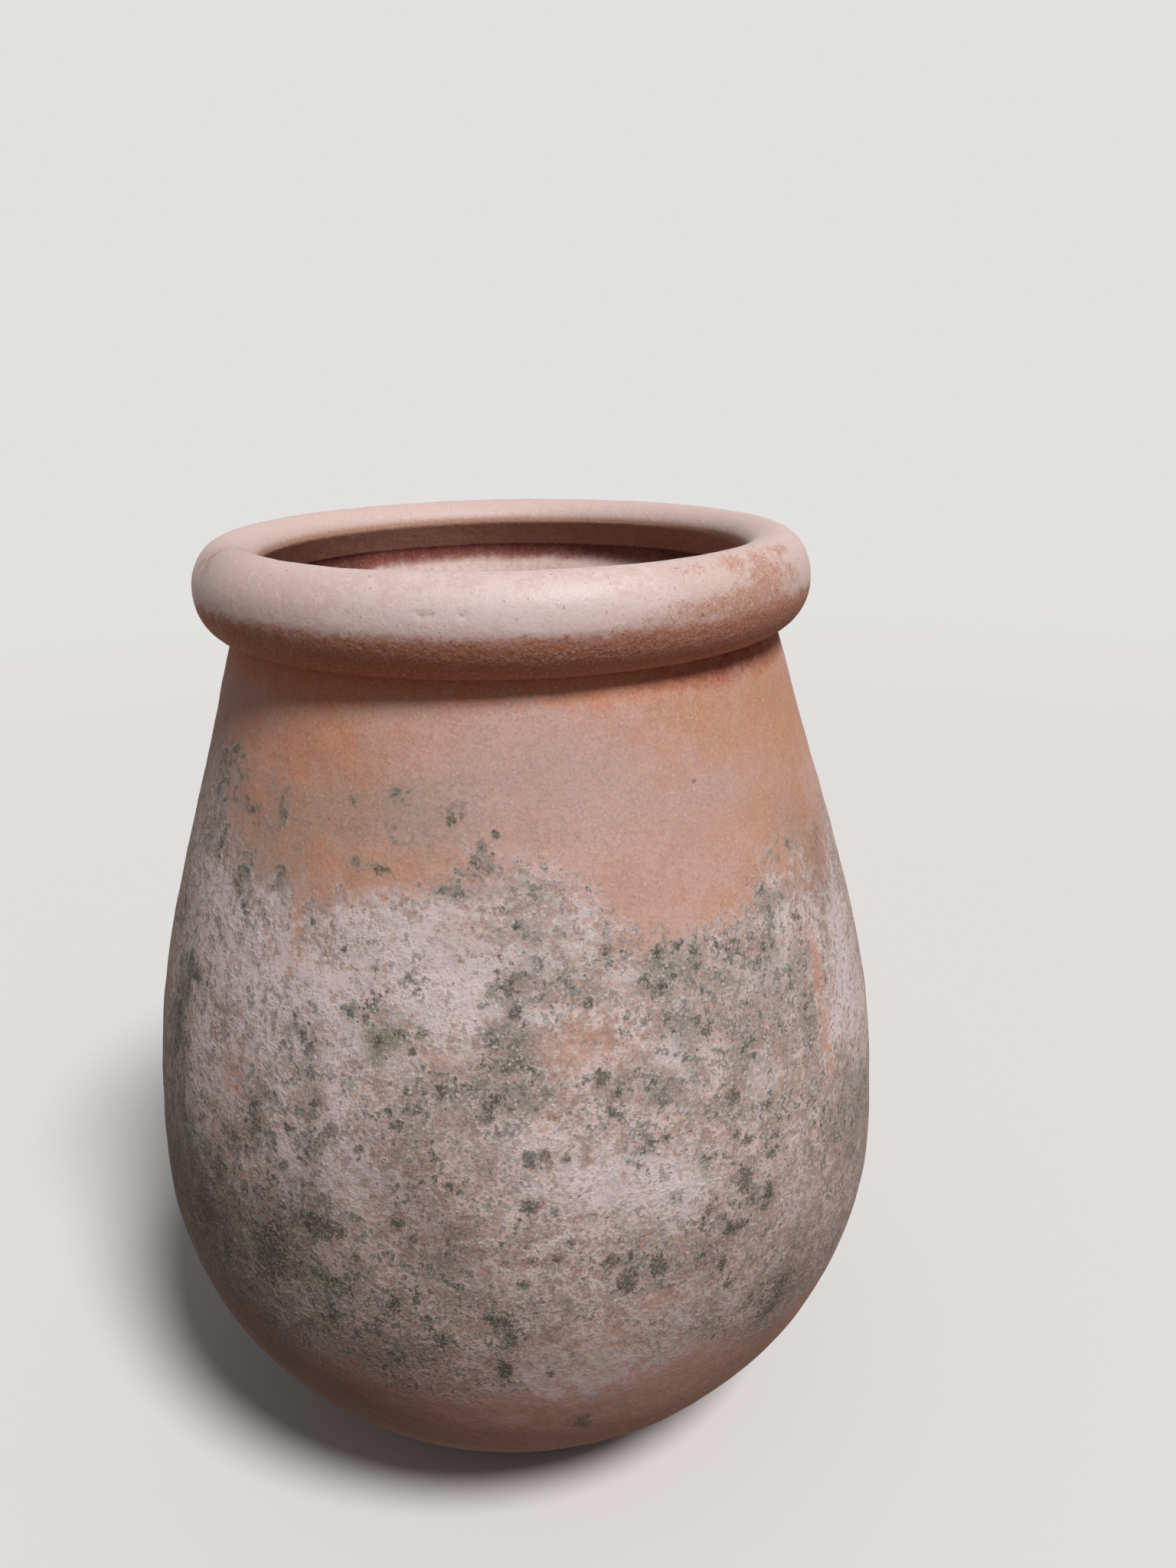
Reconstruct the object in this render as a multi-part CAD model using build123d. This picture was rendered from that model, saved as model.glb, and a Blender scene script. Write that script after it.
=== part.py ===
# Olive jar of fired clay, built section by section the way a potter builds it.
# Millimetres, +Z up. The origin is the middle of the foot, on the ground.
# Every section is a ring turned about the Z axis, and each one sits on the section
# below with a ridge in a groove, face against face.

import os
from math import atan2, cos, hypot, pi, sin, tan

from build123d import *

# Overall shape, outside.
height = 475.0  # ground to the top of the rim
foot_r = 99.0  # where the lower wall would meet the ground
belly_r = 191.5  # widest radius of the jar
belly_height = 165.0  # height of the widest point
neck_r = 132.0  # outside radius in the crease under the rim
lower_corner_share = 0.59  # of the height up to the belly, where the foot's slope reaches it
upper_corner_share = 0.262  # of the height from belly to crease, where the neck's slope starts

# Rolled rim and mouth.
roll_overhang = 16.5  # how far the roll stands out from the crease
roll_height = 43.0  # crease to the top of the rim
mouth_inset = 14.5  # how far the lip reaches in from the outside of the neck
lip_drop = 12.5  # from the top of the rim down to the mouth's upright lip
lip_land = 4.0  # height of the upright lip
lip_undercut = 5.0  # how far the wall steps back below the lip
lip_undercut_drop = 7.5  # height of that step

# Walls and base.
wall_t = 12.0  # thickness of the walls
base_t = 16.0  # thickness of the base
cove_r = 14.0  # hollow corner between the floor inside and the wall
foot_edge_r = 5.0  # worn edge of the foot

# Hollow inside the neck.
throat_drop = 2.0  # the throat lies this far below the crease outside
channel_drop = 5.0  # the deepest line of the hollow, below the inner crease
channel_depth = 1.5  # how far it goes back from the inner crease

# Joints between the sections.
joint_ridge = 4.0  # height of the ridge on the top of each section
joint_shoulder_share = 0.28  # flat shoulder on each side of the ridge, of the wall
joint_middle_share = 0.5  # the ridge stands in the middle of the wall
lower_seam_share = 0.55  # of the curve under the belly, counted from the widest point
shoulder_seam_share = 0.5  # of the curve above the belly
neck_seam_share = 0.7  # of the straight neck, counted from its lower end
tenon_rise_share = 0.35  # of half the roll, above the middle of the roll
tenon_shoulder_share = 0.2  # of the neck's width, inside the tenon
tenon_tip_shares = (0.32, 0.74)  # of the neck's width, both corners of the tenon's top


def polar(centre, radius, angle):
    """Point on a circle, with the angle in radians above level."""
    return (centre[0] + radius * cos(angle), centre[1] + radius * sin(angle))


def between(start, end, share):
    """Point a share of the way from start to end."""
    return tuple(a + share * (b - a) for a, b in zip(start, end))


# The outside curve, as two lines and two arcs that run smoothly on.
# A line and the upright at the belly meet in a corner. The arc that rounds the corner
# starts at the widest point and is as long on the other side.
crease_z = height - roll_height
lower_corner_z = belly_height * lower_corner_share
upper_corner_z = belly_height + upper_corner_share * (crease_z - belly_height)
foot_lean = atan2(belly_r - foot_r, lower_corner_z)
neck_lean = atan2(belly_r - neck_r, crease_z - upper_corner_z)
lower_arc_r = (belly_height - lower_corner_z) / tan(foot_lean / 2)
upper_arc_r = (upper_corner_z - belly_height) / tan(neck_lean / 2)
lower_centre = (belly_r - lower_arc_r, belly_height)
upper_centre = (belly_r - upper_arc_r, belly_height)


def lower_point(angle, depth=0.0):
    """Point of the curve under the belly, depth inside the surface."""
    return polar(lower_centre, lower_arc_r - depth, -angle)


def upper_point(angle, depth=0.0):
    """Point of the curve above the belly, depth inside the surface."""
    return polar(upper_centre, upper_arc_r - depth, angle)


def lower_line_point(z, depth=0.0):
    """Point of the leaning lower wall at one height."""
    return (foot_r + z * tan(foot_lean) - depth / cos(foot_lean), z)


def neck_line_point(z, depth=0.0):
    """Point of the straight neck at one height."""
    return (neck_r + (crease_z - z) * tan(neck_lean) - depth / cos(neck_lean), z)


def lower_arc(start, end, depth=0.0):
    """The curve under the belly from one angle to another."""
    middle = (start + end) / 2
    return ThreePointArc(
        lower_point(start, depth), lower_point(middle, depth), lower_point(end, depth)
    )


def upper_arc(start, end, depth=0.0):
    """The curve above the belly from one angle to another."""
    middle = (start + end) / 2
    return ThreePointArc(
        upper_point(start, depth), upper_point(middle, depth), upper_point(end, depth)
    )


def joint_points(outer, inner):
    """Shoulder, ridge, shoulder: the top of one section and the bottom of the next."""
    width = hypot(inner[0] - outer[0], inner[1] - outer[1])
    along = ((inner[0] - outer[0]) / width, (inner[1] - outer[1]) / width)
    up = (along[1], -along[0])
    middle = between(outer, inner, joint_middle_share)
    ridge = (middle[0] + joint_ridge * up[0], middle[1] + joint_ridge * up[1])
    return [
        outer,
        between(outer, inner, joint_shoulder_share),
        ridge,
        between(outer, inner, 1 - joint_shoulder_share),
        inner,
    ]


def ring(label, *edges):
    """Turn a closed outline about the Z axis."""
    outline = Wire(edges)
    solid = revolve(Plane.XZ * make_face(outline), Axis.Z)
    solid = solid.solids()[0]
    solid.label = label
    return solid


def path(points):
    """Straight edges through the points in turn."""
    return [Line(start, end) for start, end in zip(points, points[1:])]


# Seams.
lower_seam = foot_lean * lower_seam_share
shoulder_seam = neck_lean * shoulder_seam_share
neck_start_z = upper_point(neck_lean)[1]
neck_seam_z = neck_start_z + neck_seam_share * (crease_z - neck_start_z)

lower_joint = joint_points(lower_point(lower_seam), lower_point(lower_seam, wall_t))
shoulder_joint = joint_points(upper_point(shoulder_seam), upper_point(shoulder_seam, wall_t))

neck_seam_outer = neck_line_point(neck_seam_z)
neck_seam_inner = (
    neck_seam_outer[0] - wall_t * cos(neck_lean),
    neck_seam_outer[1] - wall_t * sin(neck_lean),
)
neck_joint = joint_points(neck_seam_outer, neck_seam_inner)

# Floor inside: a cove that touches the floor and the lower wall.
cove_z = base_t + cove_r
cove_x = lower_line_point(cove_z, wall_t + cove_r)[0]
cove_wall = polar((cove_x, cove_z), cove_r, -foot_lean)
cove_middle = polar((cove_x, cove_z), cove_r, -(foot_lean + pi / 2) / 2)
cove_floor = (cove_x, base_t)
base_joint = joint_points(lower_line_point(base_t), cove_floor)

# Worn edge of the foot: it touches the ground and the lower wall.
edge_x = lower_line_point(foot_edge_r, foot_edge_r)[0]
edge_wall = polar((edge_x, foot_edge_r), foot_edge_r, -foot_lean)
edge_middle = polar((edge_x, foot_edge_r), foot_edge_r, -(foot_lean + pi / 2) / 2)
edge_ground = (edge_x, 0)

# Rim.
roll_half = roll_height / 2
roll_centre = (neck_r, crease_z + roll_half)
mouth_r = neck_r - mouth_inset
outer_crease = (neck_r, crease_z)
lip_top = (mouth_r, height - lip_drop)
lip_foot = (mouth_r, lip_top[1] - lip_land)
inner_crease = (mouth_r + lip_undercut, lip_foot[1] - lip_undercut_drop)
neck_width = neck_r - inner_crease[0]
tenon_z = roll_centre[1] + tenon_rise_share * roll_half
tenon_points = [
    inner_crease,
    (inner_crease[0] + tenon_shoulder_share * neck_width, inner_crease[1]),
    (inner_crease[0] + tenon_tip_shares[0] * neck_width, tenon_z),
    (inner_crease[0] + tenon_tip_shares[1] * neck_width, tenon_z),
    outer_crease,
]

# Hollow inside the neck.
throat = neck_line_point(crease_z - throat_drop, wall_t)
channel = (inner_crease[0] + channel_depth, inner_crease[1] - channel_drop)


def base_disc():
    """Round slab with a worn edge and a ridge ring for the wall."""
    axis_top = (0, base_t)
    axis_foot = (0, 0)
    return ring(
        "base_disc",
        Line(axis_foot, edge_ground),
        ThreePointArc(edge_ground, edge_middle, edge_wall),
        Line(edge_wall, base_joint[0]),
        *path(base_joint),
        Line(base_joint[-1], axis_top),
        Line(axis_top, axis_foot),
    )


def lower_wall():
    """Leaning wall from the base to below the belly."""
    return ring(
        "lower_wall",
        Line(base_joint[0], lower_point(foot_lean)),
        lower_arc(foot_lean, lower_seam),
        *path(lower_joint),
        lower_arc(lower_seam, foot_lean, wall_t),
        Line(lower_point(foot_lean, wall_t), cove_wall),
        ThreePointArc(cove_wall, cove_middle, cove_floor),
        *path(base_joint[::-1]),
    )


def belly_wall():
    """The widest section of the jar."""
    return ring(
        "belly_wall",
        lower_arc(lower_seam, 0),
        upper_arc(0, shoulder_seam),
        *path(shoulder_joint),
        upper_arc(shoulder_seam, 0, wall_t),
        lower_arc(0, lower_seam, wall_t),
        *path(lower_joint[::-1]),
    )


def shoulder_wall():
    """From above the belly to the lower part of the straight neck."""
    return ring(
        "shoulder_wall",
        upper_arc(shoulder_seam, neck_lean),
        Line(upper_point(neck_lean), neck_joint[0]),
        *path(neck_joint),
        Line(neck_joint[-1], upper_point(neck_lean, wall_t)),
        upper_arc(neck_lean, shoulder_seam, wall_t),
        *path(shoulder_joint[::-1]),
    )


def neck_collar():
    """Top of the neck, hollowed inside, with a tenon that the roll grips."""
    hollow = Spline(inner_crease, channel, throat, tangents=[(1, -1), (0, -1)])
    return ring(
        "neck_collar",
        Line(neck_joint[0], outer_crease),
        *path(tenon_points[::-1]),
        hollow,
        Line(throat, neck_joint[-1]),
        *path(neck_joint[::-1]),
    )


def rim_roll():
    """Rolled rim with a rounded lip that overhangs the hollow below it."""
    outer_side = EllipticalCenterArc(
        roll_centre, roll_overhang, roll_half, start_angle=-90, arc_size=180
    )
    inner_side = EllipticalCenterArc(
        (neck_r, lip_top[1]), mouth_inset, lip_drop, start_angle=90, arc_size=90
    )
    return ring(
        "rim_roll",
        outer_side,
        inner_side,
        Line(lip_top, lip_foot),
        Line(lip_foot, inner_crease),
        *path(tenon_points),
    )


sections = [
    base_disc(),
    lower_wall(),
    belly_wall(),
    shoulder_wall(),
    neck_collar(),
    rim_roll(),
]

os.makedirs("parts", exist_ok=True)
for section in sections:
    export_step(section, f"parts/{section.label}.step")
    size = section.bounding_box().size
    print(f"{section.label}: {size.X:.1f} x {size.Y:.1f} x {size.Z:.1f} mm")
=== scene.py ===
"""Weathered clay olive jar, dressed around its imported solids."""

from functools import lru_cache
from itertools import product
from math import atan2, cos, hypot, pi, radians, sin, tan

import bpy
import numpy as np
from bpy.props import FloatProperty, FloatVectorProperty, IntProperty, PointerProperty
from mathutils import Matrix, Vector


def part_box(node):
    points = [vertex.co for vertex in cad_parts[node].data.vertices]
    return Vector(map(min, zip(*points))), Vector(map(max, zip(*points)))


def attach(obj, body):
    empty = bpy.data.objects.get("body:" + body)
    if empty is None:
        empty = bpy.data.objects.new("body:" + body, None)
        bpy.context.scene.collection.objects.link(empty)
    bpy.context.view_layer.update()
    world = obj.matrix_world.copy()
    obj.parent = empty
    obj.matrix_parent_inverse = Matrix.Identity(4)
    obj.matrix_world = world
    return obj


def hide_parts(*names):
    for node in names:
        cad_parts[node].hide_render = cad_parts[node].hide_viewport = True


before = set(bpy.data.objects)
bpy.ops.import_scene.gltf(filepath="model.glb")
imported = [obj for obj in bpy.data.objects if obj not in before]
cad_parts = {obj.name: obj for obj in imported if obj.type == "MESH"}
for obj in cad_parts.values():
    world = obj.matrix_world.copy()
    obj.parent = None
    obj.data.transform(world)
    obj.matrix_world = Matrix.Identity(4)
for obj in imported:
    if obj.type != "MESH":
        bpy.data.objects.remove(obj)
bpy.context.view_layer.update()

bl_info = {
    "name": "Olive Jar",
    "version": (1, 0, 0),
    "blender": (4, 5, 0),
    "location": "3D View > Sidebar > Olive Jar",
    "description": "Builds a weathered clay olive jar section by section",
    "category": "Add Mesh",
}

MM = 0.001
# Each section, with the seams where its outside begins and ends on the way up and over the rim.
SECTIONS = {
    "base_disc": ("foot", "base"),
    "lower_wall": ("base", "lower"),
    "belly_wall": ("lower", "shoulder"),
    "shoulder_wall": ("shoulder", "neck"),
    "neck_collar": ("neck", "crease"),
    "rim_roll": ("crease", "crease_in"),
}
# Finishes that the mesh holds, among them painted shade, painted bounce light and painted highlights.
FIELDS = (
    "salt_bloom_and_edge_light", "stain", "green", "orange_clay_and_lip_shade", "veil", "spots", "pale", "dirt_and_painted_shade", "weather", "chips",
    "scuffs_and_painted_shade", "inside", "aside", "painted_shade", "deep_painted_shade", "polish_and_painted_highlight", "red_clay_and_painted_bounce", "thin_stain",
)

# Corners of the neck's tenon in the rim, as shares of the neck's width from the inside.
TENON_SHARES = (0.74, 0.32, 0.2)
HUB_SHARE = 0.12  # of the foot's radius, the flat middle of the base
CREASE_REACH = 9 * MM  # below the crease, where the rows come closer together
# Millimetres between rows where the outline bends tightly or lies flat.
ROW_GAPS = {"foot": 9, "edge": 1.3, "crease": 0.9, "roll": 1.2, "hollow": 1.8, "cove": 2.2, "floor": 8}

# Noises in the skin: size in millimetres, seed, layers, and the strength of each finer layer.
NOISES = {
    "lumps": (60, 11, 3, 0.5),
    "grain": (13, 23, 3, 0.6),
    "waver": (90, 31, 1, 1),
    "fading": (50, 37, 1, 1),
    "wander": (55, 51, 4, 0.6),
    "broad": (90, 61, 3, 0.6),
    "patchy": (60, 71, 4, 0.6),
    "drips": (16, 81, 3, 0.6),
}
NOISE_CELLS = 256  # the noise repeats after so many of its bumps
NOISE_GAIN, CLOUD_GAIN = 1.6, 15  # bring noise to about -1 to 1 in the skin, -2 to 2 in the clay
DRIP_STRETCH = (1, 1, 0.12)
RING_RISE = 4.6 * MM  # height of one throwing ring, divided by 2 pi
RING_WAVER = 2.4  # how far the rings stray up and down, in radians
ROLL_SHARE, INSIDE_SHARE = 0.55, 0.7  # how uneven the roll and the inside are beside the outside
FOOT_FADE = 6 * MM  # height above the ground below which the unevenness dies out

# Marks fade out like a bell, and crisp ones keep a flatter top and a firmer edge. Beyond so
# many times its half width, judged at the jar's least radius, a mark counts as nothing.
MARK_FALL, CRISP = 0.62, 1.6
MARK_REACH, LEAST_RADIUS = 2.6, 110

# The map of a section: the gap between strips as a share of its side, how small the hidden
# joints are drawn beside the inside, and how nearly square the outside comes out.
MAP_GAP, JOINT_SHARE, SQUARENESS = 0.006, 0.15, 0.8

# Heights in millimetres where a finish begins to come in and where it has its full strength.
# Inside, darker towards the floor.
INNER_FLOOR = (120, 30)
# Painted shade low on the body begins at the first height and is full at the second.
PAINTED_SHADE_RISE = (235, 125)
# The throat and the hollow inside the neck carry painted shade.
THROAT, HOLLOW, PALE_INSIDE = (400, 430), (438, 446), (400, 438)
# The crease under the roll takes dirt and painted shade, and the red band below it takes painted bounce
# light.
CREASE_DIRT_AND_SHADE, RED_NECK_PAINTED_BOUNCE = (412, 427), (413, 430)
# Degrees round the jar: where the made-up weathering of the back takes over, where the
# daylight falls on the wall inside, and how far from there the painted shade in the throat begins.
BEHIND, DAYLIGHT, SHADE = (72, 96), -178, (35, 47)

# Marks placed round the jar: degrees to the right of the front, millimetres above
# the ground, half width and half height in millimetres, and strength.
SALT_BLOOM_AND_EDGE_LIGHT = (
    (-56, 329, 26, 12, .9), (-45, 309, 28, 16, .9), (-37, 331, 14, 9, .6), (-36, 297, 21, 8, .75),
    (-18, 333, 14, 8, .8), (-11, 326, 15, 12, 1), (-7, 313, 13, 15, 1), (-5, 342, 9, 5.5, .4),
    (-49, 248, 12, 28, .8), (-37, 276, 12, 10, .5), (-22, 292, 9, 12, .5), (-20, 275, 4.3, 12, .5),
    (24.5, 278, 7, 9, 1), (26, 297, 4.9, 3, .8), (18, 234, 13, 4, .8), (21, 219, 10, 6, .8),
    (14, 225, 14, 5.5, .7), (67, 299, 12, 16, .6), (64, 272, 10, 18, 1), (58, 257, 8, 10, .8),
    (48, 316, 9, 9, .6), (43, 294, 12, 9, .5), (1, 325, 6, 6, .5), (10, 331, 8, 6, .4),
    (-19, 230, 13, 14, .6), (-26, 224, 10, 11, .6), (-9, 214, 9, 10, .4), (39, 257, 10, 10, .5),
    (66, 229, 12, 14, .7), (4, 252, 14, 8, .7), (7, 228, 16, 6, .5), (-4, 190, 10, 8, .4),
    (19, 312, 7, 3.5, .6), (6, 301, 4.5, 4, .7), (-25, 306, 18, 13, .75), (-18, 298, 28, 16, .35),
    (-32, 290, 18, 16, .6), (24, 215, 14, 10, .75), (68, 280, 10, 40, .4), (72, 240, 10, 30, .6),
    (-62, 270, 12, 30, .5), (23, 218, 14, 12, .75), (23, 147, 12, 14, .5), (26, 314, 8, 5, .4),
    # Marks at the far left edge, near -60 degrees, are painted light.
    (-57, 294, 9, 13, .95), (-60, 225, 8, 24, .9), (-52, 232, 10, 14, .6), (2, 303, 6, 4, .5),
    (-9, 314, 18, 12, .6), (7, 322, 13, 9, .3), (-12, 346, 20, 6, .15), (13, 236, 20, 11, .7),
    (44, 188, 10, 12, .4), (-27, 170, 8, 10, .4), (-30, 234, 8, 18, .9), (-22, 262, 6, 14, .7),
    (-50, 217, 8, 24, .9), (-28, 204, 5, 7, .9), (-28, 175, 5, 6, .8), (-20, 260, 10, 14, .4),
    (-4, 300, 9, 7, .6), (12, 332, 12, 10, .5), (10, 134, 24, 14, .8), (4, 350, 16, 8, .25),
    (-13, 280, 8, 8, .5),
)
GREY_STAIN = (
    (-55, 382, 12, 8, .7), (-55, 362, 9, 15, .7), (-45, 368, 5, 4.5, .5), (-37, 369, 2, 10, .6),
    (-68, 333, 14, 6, .6), (-43, 340, 10, 9, .7), (-36, 342, 7, 8, .7), (-23, 383, 3.8, 2.5, .4),
    (-14, 386, 4.8, 3, .5), (-6, 381, 3.9, 3.5, .5), (-15, 372, 5.2, 4, .35), (-19, 358, 8, 3.5, .6),
    (-6, 356, 6, 3, .35), (-2, 363, 2.7, 6, .55), (1, 373, 1.6, 1.5, .8), (0, 357, 8, 6, .45),
    (6, 351, 8, 5.5, .4), (-5, 350, 19, 3, .3), (-58, 274, 9, 18, 1), (-59, 238, 9, 26, .8),
    (-60, 195, 24, 33, .9), (-66, 307, 6, 10, .6), (-26.5, 279, 5.5, 12, .6), (-29.5, 288, 3.5, 5, .8),
    (-15, 291, 10, 10, .6), (-18, 300, 7, 3.5, .5), (-9, 273, 13, 10, .4), (2, 307, 10, 8, .35),
    (2, 289, 9, 10, .85), (0, 268, 9, 9, .85), (4, 269, 8, 7, .8), (8, 333, 11, 8, .6),
    (13, 308, 7, 5, .75), (6, 316, 8, 8, .6), (16, 324, 4.3, 4, .7), (24, 313, 10, 10, .75),
    (29, 310, 5.9, 6, .75), (26, 285, 8, 5.5, .8), (27, 273, 4.7, 4.5, .7), (35, 271, 7, 6, .75),
    (21, 269, 5, 7, .85), (23, 264, 8, 4, .7), (16, 270, 8, 7, .6), (45, 321, 4.3, 12, .7),
    (48, 326, 10, 3, .5), (76, 342, 12, 8, .3), (67, 332, 5, 9, .4), (52, 343, 8, 3.5, .6),
    (66, 203, 23, 22, .8), (56, 216, 12, 10, .7), (-34, 248, 6, 8, .7), (-40, 230, 6, 5.5, .6),
    (-26, 258, 7, 8, .45), (-25, 241, 7, 6, .7), (-13, 258, 10, 4.5, .6), (-9, 248, 6, 4.5, .5),
    (-46, 197, 14, 14, .8), (-42, 171, 30, 24, 1), (-34, 176, 16, 17, 1), (-25, 204, 7, 6, .9),
    (-24, 179, 9, 6, .7), (-24, 158, 11, 10, .7), (-16, 174, 15, 8, .6), (-5, 178, 13, 10, .5),
    (0, 163, 7, 9, .85), (-8, 158, 4.6, 5, .6), (0, 140, 3.3, 6, .7), (-6, 201, 1.7, 12, .5),
    (-1, 242, 6, 6, .5), (36, 207, 13, 10, .55), (25, 190, 22, 10, .45), (18, 185, 13, 9, .5),
    (31, 252, 12, 6, .5), (9, 318, 9, 5, .5), (33, 299, 8, 6, .4), (45, 235, 17, 10, .35),
    (-30, 148, 27, 8, .6), (-9, 192, 10, 8, .4), (10, 101, 5.1, 5, .5), (-3, 94, 5, 5, .4),
    (-18, 209, 14, 11, .35), (40, 141, 13, 17, .35), (-38, 204, 16, 12, .8), (-29, 190, 12, 10, .8),
    (-50, 205, 14, 30, .9), (-14, 150, 16, 12, .5), (35, 297, 14, 16, .6), (44, 284, 10, 26, .55),
    (28, 300, 10, 10, .7), (50, 280, 8, 24, .5), (-20, 187, 9, 9, .5), (-5, 196, 9, 8, .4),
    (1, 208, 9, 9, .3), (24, 258, 8, 6, .4), (-26, 217, 8, 8, .3), (-35, 242, 7, 18, .8),
    (-27, 256, 7, 28, .5), (-24, 202, 6, 6, .8), (20, 246, 10, 8, .4), (39, 242, 12, 10, .45),
)
THIN_STAIN = (
    (-13, 381, 24, 11, .6), (-25, 373, 18, 12, .38), (-40, 362, 8, 26, .75), (-49, 370, 8, 24, .7),
    (-33, 356, 5, 18, .6), (-9, 370, 10, 12, .4), (56, 350, 16, 18, .4),
)
GREEN_MOSS = (
    (-17, 292, 3.4, 2.5, .9), (-16, 285, 3.1, 5, 1), (-14, 291, 3.8, 4, .9), (-10, 294, 3, 4, .8),
    (-19, 300, 8, 4, .6), (-34, 178, 12, 17, 1), (-29, 174, 6, 7, .8), (-24, 179, 8, 4, .9),
    (-6, 378, 1.9, 2.5, .6), (3, 283, 6, 4, .7), (24, 318, 5.8, 4, .6), (27, 275, 5.1, 4.5, .6),
    (16, 267, 2.4, 2, .9), (11, 95, 3.5, 4, .9), (-54, 289, 7, 4, .5), (0, 140, 2.9, 5, .6),
    (54, 204, 12, 12, .5), (-50, 195, 13, 18, .5), (-14, 174, 3.8, 5, .6), (36, 271, 5.9, 4.5, .5),
    (22, 269, 4.7, 4.5, .5), (3, 310, 4.4, 4, .3), (-20, 270, 4.3, 6, .5), (-44, 190, 14, 12, .7),
    (-28, 196, 9, 10, .6), (29, 226, 7, 10, .35),
)
ORANGE_CLAY = (
    (47, 400, 40, 16, .8), (53, 360, 22, 27, 1), (60, 410, 26, 12, .6), (-33, 393, 45, 20, .8),
    (-42, 367, 19, 18, 1), (-26, 356, 23, 15, 1), (-10, 411, 19, 8, .45), (-14, 357, 17, 6, .6),
    (32, 334, 21, 9, .35), (-31, 330, 3.2, 14, .9), (-32, 311, 5.1, 5.5, .9), (-29, 317, 5.8, 4.5, .8),
    (-23, 314, 7, 2.5, .7), (-23, 308, 2.2, 4, .7), (-36, 301, 3, 2.5, .9), (-44, 312, 2.9, 2.5, .8),
    (-46, 295, 3.8, 4.5, .6), (-20, 318, 5.4, 2.5, .6), (55, 295, 3, 9, 1), (54, 274, 3.5, 13, .9),
    (54, 248, 3.6, 14, .8), (42, 260, 2.4, 10, .7), (12, 287, 18, 12, .6), (-8, 285, 8, 3, .8),
    (-40, 270, 7, 6, .5), (-41, 256, 7, 7, .5), (22, 169, 13, 9, .5), (57, 395, 20, 20, .6),
    (52, 398, 34, 26, .6), (-24, 400, 20, 16, .5), (-2, 358, 19, 9, .35), (0, 301, 3.7, 2.5, .6),
    (-50, 268, 2.8, 2, .8), (-48, 333, 10, 9, .5), (-10, 363, 13, 6, .4), (74, 387, 22, 16, .7),
    (48, 414, 36, 12, .8), (10, 150, 24, 12, .5), (66, 330, 14, 14, .9), (-5, 334, 11, 9, .75),
)
LILAC_VEIL = (
    (7, 398, 22, 18, .8), (20, 387, 30, 15, .8), (38, 376, 26, 9, .9), (17, 373, 26, 9, .4),
    (0, 387, 15, 12, .5),
)
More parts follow.
